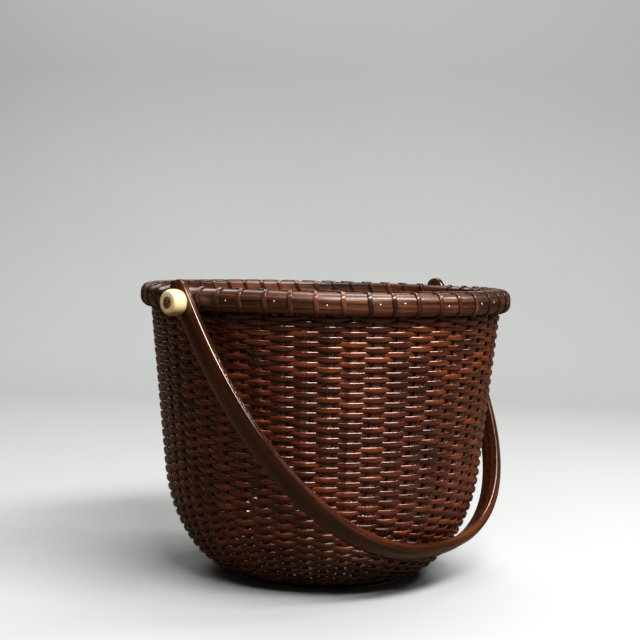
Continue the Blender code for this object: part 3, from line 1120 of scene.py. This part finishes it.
@dataclass
class Rim:
    """Both hoops, the filler between them, the cane lashing and the small nails."""

    form: BasketForm
    outer_round: float = 4.9 * MM
    inner_round: float = 1.6 * MM
    seat_round: float = 0.3 * MM
    hoop_steps: int = 196
    round_steps: int = 5
    filler_rise: float = 0.3 * MM
    filler_depth: float = 2.9 * MM
    filler_round: float = 0.25 * MM
    filler_round_steps: int = 3
    # Outer hoop, inner hoop and filler.
    grain_shifts: Triple = (1.3, 2.7, 4.1)
    lashing_width: float = 2.7 * MM
    lashing_thickness: float = 0.6 * MM
    lashing_gap_share: float = 0.4
    lashing_squareness: float = 4.2
    lashing_seed_step: float = 0.71
    outer_top_share: float = 0.06
    inner_top_share: float = 0.62
    ridge_rise: float = 0.15 * MM
    wrap_sides: int = 8
    # Outside below, outside above, inside above, inside below.
    arc_steps: tuple[int, int, int, int] = (6, 5, 5, 4)
    start_stations: int = 2
    end_cut: int = 4
    sway: float = 0.16
    sway_beat: float = 2.4
    side_sway: float = 0.4
    sway_depth: float = 4 * MM
    drift: float = 0.0035
    drift_beat: float = 1.9
    lashing_sharp_degrees: float = 80.0
    nail_count: int = 28
    nail_radius: float = 0.65 * MM
    nail_place: float = 0.36
    nail_height: float = 0.52
    nail_scatter: float = 0.07
    nail_beat: float = 2.1
    nail_depth: float = 0.05 * MM
    nail_flatness: float = 0.45
    nail_segments: tuple[int, int] = (10, 6)
    ear_room: float = 9 * MM

    def _seat(self, height: float, face: Face) -> float:
        """Radius of a hoop's face against the staves."""
        length = math.hypot(1.0, self.form.taper)
        return self.form.radius(height) + face.value * (self.form.stave_thickness / 2 + self.form.fit) * length

    def _outer_hoop(self) -> Shape:
        """Models the outer hoop.

        Returns:
            Its mesh.
        """
        low, top = self.form.hoop_bottom, self.form.rim_top
        points = [
            (self._seat(low, Face.OUTER), low, self.seat_round),
            (self.form.rim_radius, low, self.outer_round),
            (self.form.rim_radius, top, self.outer_round),
            (self._seat(top, Face.OUTER), top, self.seat_round),
        ]
        return turned(rounded(points, self.round_steps), self.hoop_steps, seed=self.grain_shifts[0])

    def _inner_hoop(self) -> Shape:
        """Models the inner hoop.

        Returns:
            Its mesh.
        """
        low, top = self.form.hoop_bottom, self.form.rim_top
        points = [
            (self._seat(low, Face.INNER), low, self.seat_round),
            (self._seat(top, Face.INNER), top, self.seat_round),
            (self.form.inner_hoop_radius, top, self.inner_round),
            (self.form.inner_hoop_radius, low, self.inner_round),
        ]
        return turned(rounded(points, self.round_steps), self.hoop_steps, seed=self.grain_shifts[1])

    def _filler(self) -> Shape:
        """Models the strip over the staves' ends.

        Returns:
            Its mesh.
        """
        form = self.form
        low, top = form.rim_top - self.filler_depth, form.rim_top + self.filler_rise
        half = form.stave_thickness / 2 - form.fit / 2
        points = [
            (form.radius(low) - half, low, 0.0),
            (form.radius(low) + half, low, 0.0),
            (form.radius(top) + half, top, self.filler_round),
            (form.radius(top) - half, top, self.filler_round),
        ]
        return turned(rounded(points, self.filler_round_steps), self.hoop_steps, seed=self.grain_shifts[2])

    def _wrap_outline(self) -> list[tuple[float, Vector, Vector, float]]:
        """The path of one wrap of the lashing round both hoops.

        Returns:
            Share of the pitch gone by, place (radius, height), outward normal and slant at each station.
        """
        form = self.form
        gap = form.fit * self.lashing_gap_share + self.lashing_thickness / 2
        low, top = form.hoop_bottom, form.rim_top + self.filler_rise
        outside, inside = form.rim_radius, form.inner_hoop_radius
        first, last = self.outer_top_share, self.inner_top_share
        outer, inner = self.outer_round, self.inner_round
        out, into = outside - outer, inside + inner
        slant = math.atan2((last - first) * form.pitch * form.radius(top), out - into)
        halfway = (low + top) / 2
        below_out, above_out, above_in, below_in = self.arc_steps
        path = [
            (0.0, place, normal, 0.0)
            for _, place, normal in quarter_arc(Vector((out, low + outer)), outer + gap, -QUARTER, below_out)
        ]
        path.append((first / 2, Vector((outside + gap, halfway)), Vector((1.0, 0.0)), 0.0))
        for share, place, normal in quarter_arc(Vector((out, top - outer)), outer + gap, 0.0, above_out):
            path.append((first, place, normal, slant * share))
        ridge = Vector(((out + into) / 2, top + gap + self.ridge_rise))
        path.append(((first + last) / 2, ridge, Vector((0.0, 1.0)), slant))
        for share, place, normal in quarter_arc(Vector((into, top - inner)), inner + gap, QUARTER, above_in):
            path.append((last, place, normal, slant * (1.0 - share)))
        path.append(((last + 1.0) / 2, Vector((inside - gap, halfway)), Vector((-1.0, 0.0)), 0.0))
        for _, place, normal in quarter_arc(Vector((into, low + inner)), inner + gap, 2 * QUARTER, below_in):
            path.append((1.0, place, normal, 0.0))
        return path

    def _lashing(self) -> Shape:
        """Winds the lashing round the rim, from under the far ear and back to it.

        Returns:
            Its mesh.
        """
        form = self.form
        outline = self._wrap_outline()
        section = oval(self.lashing_thickness / 2, self.lashing_width / 2, self.wrap_sides, self.lashing_squareness)
        stations = [(0, place) for place in outline[-self.start_stations :]]
        stations += [(wrap, place) for wrap in range(1, form.stave_count) for place in outline]
        rings, runs = [], []
        length = 0.0
        before = None
        for wrap, (share, place, normal, slant) in stations[: -self.end_cut]:
            loose = 1.0 if place.y > form.rim_top - self.sway_depth else self.side_sway
            turn = slant + self.sway * math.sin(wrap * self.sway_beat) * loose
            angle = -(wrap + share) * form.pitch + self.drift * math.sin(wrap * self.drift_beat)
            radial, tangential = around(angle)
            middle = radial * place.x + UP * place.y
            outward = radial * normal.x + UP * normal.y
            sideways = tangential * math.cos(turn) + outward.cross(tangential) * math.sin(turn)
            length += (middle - before).length if before is not None else 0.0
            before = middle
            rings.append([middle + outward * out + sideways * over for out, over in section])
            runs.append([Vector((length, over, wrap * self.lashing_seed_step)) for _, over in section])
        return tube(rings, runs)

    def _nails(self) -> Shape:
        """Models the small nail heads on the outer hoop, apart from the places that the ears cover.

        Returns:
            Their mesh.
        """
        form = self.form
        shape = bmesh.new()
        layer = shape.verts.layers.float_vector.new("run")
        around_head, down_head = self.nail_segments
        squash = Matrix.Diagonal((self.nail_flatness, 1.0, 1.0, 1.0))
        for nail in range(self.nail_count):
            space = round(nail * form.stave_count / self.nail_count)
            angle = (space + self.nail_place) * form.pitch
            if abs(math.sin(angle)) * form.rim_radius < self.ear_room:
                continue
            radial, _ = around(angle)
            share = self.nail_height + self.nail_scatter * math.sin(nail * self.nail_beat)
            place = radial * (form.rim_radius - self.nail_depth) + UP * (form.hoop_bottom + form.hoop_height * share)
            matrix = Matrix.Translation(place) @ Matrix.Rotation(angle, 4, "Z") @ squash
            grown = bmesh.ops.create_uvsphere(
                shape, u_segments=around_head, v_segments=down_head, radius=self.nail_radius, matrix=matrix
            )
            for vertex in grown["verts"]:
                vertex[layer] = vertex.co
        return shape

    def build(self, finishes: Finishes) -> None:
        """Models and dresses the rim.

        Args:
            finishes: The basket's finishes.
        """
        basket, sharp = Body.BASKET, self.lashing_sharp_degrees
        finish_piece("outer_hoop_bent", self._outer_hoop(), finishes.hoop, basket, ("outer_rim_hoop",))
        finish_piece("inner_hoop_bent", self._inner_hoop(), finishes.hoop, basket, ("inner_rim_hoop",))
        finish_piece("filler_strip", self._filler(), finishes.stave, basket, ("rim_filler",))
        finish_piece("cane_lashing", self._lashing(), finishes.lashing, basket, ("rim_lashing",), sharp)
        finish_piece("rim_nails", self._nails(), finishes.nail, basket)


@dataclass
class SwingHandle:
    """The bent bail, flat inside and rounded outside, with rounded ears."""

    form: BasketForm
    pivot_drop: float = 8.0 * MM
    lashing_room: float = 0.7 * MM
    reach: float = 170.2 * MM
    width: float = 13.0 * MM
    ear_thickness: float = 4.4 * MM
    bow_thickness: float = 6.0 * MM
    ear_reach: float = 14.2 * MM
    ear_first_degrees: float = 6.0
    ear_stations: int = 8
    leg: float = 5.0 * MM
    leg_stations: tuple[float, float] = (-4.0 * MM, 1.0 * MM)
    corner_share: float = 0.8734
    station_power: float = 1.25
    stations: int = 96
    hang_degrees: float = 56.92
    edge_round: float = 0.7 * MM
    crown_round: float = 2.6 * MM
    shoulder: float = 0.30
    crown: float = 0.50
    grain_shift: float = 5.5
    sharp_degrees: float = 50.0

    @property
    def pivot_height(self) -> float:
        """Height of the pivot axis."""
        return self.form.rim_top - self.pivot_drop

    @property
    def half_span(self) -> float:
        """Distance from the middle of the basket to the middle of an ear."""
        return self.form.rim_radius + self.form.fit + self.lashing_room + self.form.fit + self.ear_thickness / 2

    def _line(self) -> list[tuple[float, float, float, float]]:
        """The handle's middle line, upright, from ear to ear.

        Returns:
            Place across, place up, share of the width and share of the bow's thickness.
        """
        half = []
        span, fan = self.half_span, QUARTER - self.ear_first_degrees
        for step in range(self.ear_stations):
            angle = math.radians(self.ear_first_degrees + fan * step / (self.ear_stations - 1))
            half.append((span, self.width / 2 * (1.0 - math.cos(angle)) - self.ear_reach, math.sin(angle), 0.0))
        half += [(span, up, 1.0, 0.0) for up in (*self.leg_stations, self.leg)]
        for step in range(1, self.stations + 1):
            angle = (step / self.stations) ** self.station_power * math.pi / 2
            across = span * math.cos(angle) ** self.corner_share if step < self.stations else 0.0
            up = self.leg + (self.reach - self.leg) * math.sin(angle) ** self.corner_share
            half.append((across, up, 1.0, math.sin(angle) ** 2))
        mirrored = [(-across, up, width, bow) for across, up, width, bow in half]
        return mirrored + half[-2::-1]

    def _section(self, thickness: float) -> Outline:
        """The handle's section, flat inside and rounded outside, with softened edges.

        Args:
            thickness: The section's thickness.

        Returns:
            Thickness and width of each point from the section's middle.
        """
        half, side = thickness / 2, self.width / 2
        points = [
            (-half, -side, self.edge_round),
            (self.shoulder * thickness, -side, self.edge_round),
            (half, -side * self.crown, self.crown_round),
            (half, side * self.crown, self.crown_round),
            (self.shoulder * thickness, side, self.edge_round),
            (-half, side, self.edge_round),
        ]
        return rounded(points)

    def build(self, finishes: Finishes) -> None:
        """Models and dresses the handle.

        Args:
            finishes: The basket's finishes.
        """
        turn = Matrix.Rotation(math.radians(QUARTER + self.hang_degrees), 4, "X")
        lay = Matrix.Translation((0.0, 0.0, self.pivot_height)) @ turn
        line = self._line()
        rings, runs = [], []
        length = 0.0
        for index, (across, up, width_share, bow) in enumerate(line):
            before = Vector(line[max(index - 1, 0)][:2])
            after = Vector(line[min(index + 1, len(line) - 1)][:2])
            run = (after - before).normalized()
            length += (Vector((across, up)) - before).length
            thickness = self.ear_thickness + (self.bow_thickness - self.ear_thickness) * bow
            outward = Vector((-run.y, 0.0, run.x))
            middle = Vector((across, 0.0, up))
            points = [(out, side * width_share) for out, side in self._section(thickness)]
            rings.append([lay @ (middle + outward * out + Vector((0.0, side, 0.0))) for out, side in points])
            runs.append([Vector((length, side + out, self.grain_shift)) for out, side in points])
        finish_piece(
            "bent_handle",
            tube(rings, runs),
            finishes.handle,
            Body.HANDLE,
            ("swing_handle",),
            self.sharp_degrees,
        )


@dataclass
class Pivots:
    """The two bone knobs and the headed pins."""

    form: BasketForm
    handle: SwingHandle
    knob_diameter: float = 15.2 * MM
    knob_end_diameter: float = 8.6 * MM
    knob_length: float = 9.8 * MM
    knob_stations: int = 24
    recess_round: float = 0.15 * MM
    head_diameter: float = 6.0 * MM
    head_thickness: float = 1.0 * MM
    # Share of the head's radius, and rise over the knob's end.
    head_profile: tuple[tuple[float, float], ...] = (
        (0.0, 1.0 * MM),
        (0.32, 0.95 * MM),
        (0.40, 0.6 * MM),
        (0.55, 0.62 * MM),
        (0.85, 0.42 * MM),
        (1.0, 0.05 * MM),
    )
    tail_diameter: float = 5.0 * MM
    # Share of the tail's radius, and reach past the inner hoop.
    tail_profile: tuple[tuple[float, float], ...] = ((1.0, 0.0), (1.0, 0.7 * MM), (0.6, 1.2 * MM), (0.0, 1.4 * MM))
    pin_diameter: float = 2.4 * MM
    knob_steps: int = 64
    pin_steps: int = 32
    sharp_degrees: float = 35.0

    @property
    def seat(self) -> float:
        """Distance from the middle of the basket to a knob's inner face."""
        return self.handle.half_span + self.handle.ear_thickness / 2 + self.form.fit

    def _turn(self, points: Outline, end: End, steps: int) -> Shape:
        """Turns an outline on the pivot axis, at one end of it."""
        profile = [(radius, end.value * along) for radius, along in points]
        return turned(profile, steps, Axis.PIVOT, self.handle.pivot_height)

    def _knob(self, end: End) -> Shape:
        """Models a knob, barrel-shaped, with a bore and a recess for the pin's head.

        Args:
            end: The end of the pivot axis that it sits at.

        Returns:
            Its mesh.
        """
        low, high = self.seat, self.seat + self.knob_length
        bore, recess = self.pin_diameter / 2 + self.form.fit, self.head_diameter / 2 + self.form.fit
        floor = high - self.head_thickness - self.form.fit
        face, swell = self.knob_end_diameter / 2, (self.knob_diameter - self.knob_end_diameter) / 2
        points = [(bore, low)]
        for step in range(self.knob_stations + 1):
            angle = math.pi * step / self.knob_stations
            bulge = math.sqrt(max(math.sin(angle), 0.0))
            points.append((face + swell * bulge, (low + high) / 2 - math.cos(angle) * self.knob_length / 2))
        points += [(recess + self.recess_round, high), (recess, high - self.recess_round)]
        points += [(recess, floor), (bore, floor)]
        return self._turn(points, end, self.knob_steps)

    def _pin(self, end: End) -> Shape:
        """Models a pin with a domed head outside and a low round head inside.

        Args:
            end: The end of the pivot axis that it sits at.

        Returns:
            Its mesh.
        """
        high = self.seat + self.knob_length
        head_seat, tail_seat = high - self.head_thickness, self.form.inner_hoop_radius - self.form.fit
        head, tail, shank = self.head_diameter / 2, self.tail_diameter / 2, self.pin_diameter / 2
        points = [(head * share, high + rise) for share, rise in self.head_profile]
        points += [(head, head_seat), (shank, head_seat), (shank, tail_seat)]
        points += [(tail * share, tail_seat - drop) for share, drop in self.tail_profile]
        return self._turn(points, end, self.pin_steps)

    def build(self, finishes: Finishes) -> None:
        """Models and dresses both knobs and pins.

        Args:
            finishes: The basket's finishes.
        """
        basket, sharp = Body.BASKET, self.sharp_degrees
        for end in End:
            knob, pin = f"{end.name.lower()}_pivot_knob", f"{end.name.lower()}_pivot_pin"
            finish_piece(f"turned_{knob}", self._knob(end), finishes.bone, basket, (knob,), sharp)
            finish_piece(f"headed_{pin}", self._pin(end), finishes.brass, basket, (pin,), sharp)


@dataclass(frozen=True)
class Lamp:
    """One area lamp: degrees right of the camera and above the floor, metres and watts."""

    name: str
    bearing: float
    elevation: float
    reach: float
    width: float
    height: float
    power: float


@dataclass
class Studio:
    """The floor, the backdrop, the lights and the camera."""

    distance: float = 0.817
    height: float = 0.2025
    bearing_degrees: float = 47.41
    pitch_degrees: float = 3.194
    yaw_degrees: float = 0.225
    roll_degrees: float = 1.272
    focal_pixels: float = 1300.0
    image_pixels: float = 640.0
    sensor_width: float = 36.0
    aim_height: float = 0.1
    floor_front: float = 2.0
    floor_back: float = 0.9
    floor_half_width: float = 3.0
    cove_radius: float = 0.5
    cove_steps: int = 12
    backdrop_height: float = 3.0
    air_colour: Triple = (1.0, 0.96, 0.92)
    air_seen: float = 0.6
    air_light: float = 0.045
    lamps: tuple[Lamp, ...] = (
        Lamp("window_light", 36.0, 50.0, 1.4, 1.3, 0.36, 46.0),
        Lamp("side_light", 103.0, 42.0, 1.455, 0.22, 0.22, 5.5),
        Lamp("ceiling_light", 150.0, 72.0, 1.6, 0.8, 0.8, 16.0),
        Lamp("left_light", -24.0, 48.0, 1.5, 0.25, 0.14, 1.8),
        Lamp("rear_light", 208.0, 38.0, 1.6, 1.0, 0.7, 8.0),
    )

    @property
    def view(self) -> Vector:
        """Level direction from the camera to the basket."""
        bearing = math.radians(self.bearing_degrees)
        return Vector((math.sin(bearing), math.cos(bearing), 0.0))

    def _stage(self) -> None:
        """Builds a floor that curves up into a backdrop behind the basket."""
        shape = bmesh.new()
        profile = [(-self.floor_front, 0.0)]
        for step in range(self.cove_steps + 1):
            angle = math.pi / 2 * step / self.cove_steps
            out = self.floor_back + self.cove_radius * math.sin(angle)
            profile.append((out, self.cove_radius * (1.0 - math.cos(angle))))
        profile.append((self.floor_back + self.cove_radius, self.backdrop_height))
        aside = Vector((self.view.y, -self.view.x, 0.0)) * self.floor_half_width
        line = [shape.verts.new(self.view * out - aside + UP * up) for out, up in profile]
        edges = [shape.edges.new(pair) for pair in zip(line, line[1:])]
        grown = bmesh.ops.extrude_edge_only(shape, edges=edges)["geom"]
        moved = [item for item in grown if isinstance(item, bmesh.types.BMVert)]
        bmesh.ops.translate(shape, verts=moved, vec=aside * 2.0)
        shape.normal_update()
        if sum(face.normal.z for face in shape.faces) < 0.0:
            bmesh.ops.reverse_faces(shape, faces=shape.faces)
        mesh = bpy.data.meshes.new("stage_floor")
        shape.to_mesh(mesh)
        shape.free()
        mesh.shade_smooth()
        mesh.materials.append(PaleStage().build())
        floor = bpy.data.objects.new("stage_floor", mesh)
        bpy.context.scene.collection.objects.link(floor)

    def _lamp(self, lamp: Lamp) -> None:
        """Hangs an area lamp that faces the basket.

        Args:
            lamp: Where the lamp hangs, how large it is and how bright.
        """
        data = bpy.data.lights.new(lamp.name, "AREA")
        data.shape = "RECTANGLE"
        data.size = lamp.width
        data.size_y = lamp.height
        data.energy = lamp.power
        level, _ = around(math.radians(lamp.bearing - self.bearing_degrees - QUARTER))
        rise = math.radians(lamp.elevation)
        arm = (level * math.cos(rise) + UP * math.sin(rise)) * lamp.reach
        hung = bpy.data.objects.new(lamp.name, data)
        hung.location = arm + UP * self.aim_height
        hung.rotation_euler = (-arm).to_track_quat("-Z", "Y").to_euler()
        bpy.context.scene.collection.objects.link(hung)

    def _camera(self) -> None:
        """Places the camera as the photograph has it."""
        yaw, pitch, roll = map(math.radians, (self.yaw_degrees, self.pitch_degrees, self.roll_degrees))
        level = Matrix.Rotation(yaw, 3, "Z") @ self.view
        right = Vector((level.y, -level.x, 0.0))
        ahead = level * math.cos(pitch) - UP * math.sin(pitch)
        upward = UP * math.cos(pitch) + level * math.sin(pitch)
        across = right * math.cos(roll) + upward * math.sin(roll)
        rise = upward * math.cos(roll) - right * math.sin(roll)
        data = bpy.data.cameras.new("photo_camera")
        data.sensor_width = self.sensor_width
        data.lens = self.sensor_width * self.focal_pixels / self.image_pixels
        camera = bpy.data.objects.new("photo_camera", data)
        turn = Matrix((across, rise, -ahead)).transposed().to_4x4()
        camera.matrix_world = Matrix.Translation(UP * self.height - self.view * self.distance) @ turn
        bpy.context.scene.collection.objects.link(camera)
        bpy.context.scene.camera = camera

    def _air(self) -> bpy.types.World:
        """Makes the room's air, pale to the camera and dim on the basket.

        Returns:
            The world.
        """
        world = bpy.data.worlds.new("studio_air")
        world.use_nodes = True
        tree = world.node_tree
        background = tree.nodes["Background"].inputs
        background["Color"].default_value = (*self.air_colour, 1.0)
        camera = tree.nodes.new("ShaderNodeLightPath").outputs["Is Camera Ray"]
        strength = math_node(tree, "MULTIPLY_ADD", camera, self.air_seen, self.air_light)
        tree.links.new(strength, background["Strength"])
        return world

    def build(self) -> None:
        """Sets up the stage, the light and the camera."""
        scene = bpy.context.scene
        scene.view_settings.view_transform = "Standard"
        scene.world = self._air()
        self._stage()
        for lamp in self.lamps:
            self._lamp(lamp)
        self._camera()


def main() -> None:
    """Builds the studio and every sub-assembly in order."""
    logging.basicConfig(level=logging.INFO, format="%(message)s")
    form = BasketForm()
    line = StaveLine(form)
    finishes = Finishes()
    Studio().build()
    TurnedBase(form).build(finishes)
    Staves(form, line).build(finishes)
    WovenWall(form, line).build(finishes)
    Rim(form).build(finishes)
    handle = SwingHandle(form)
    handle.build(finishes)
    Pivots(form, handle).build(finishes)


if __name__ == "__main__":
    main()
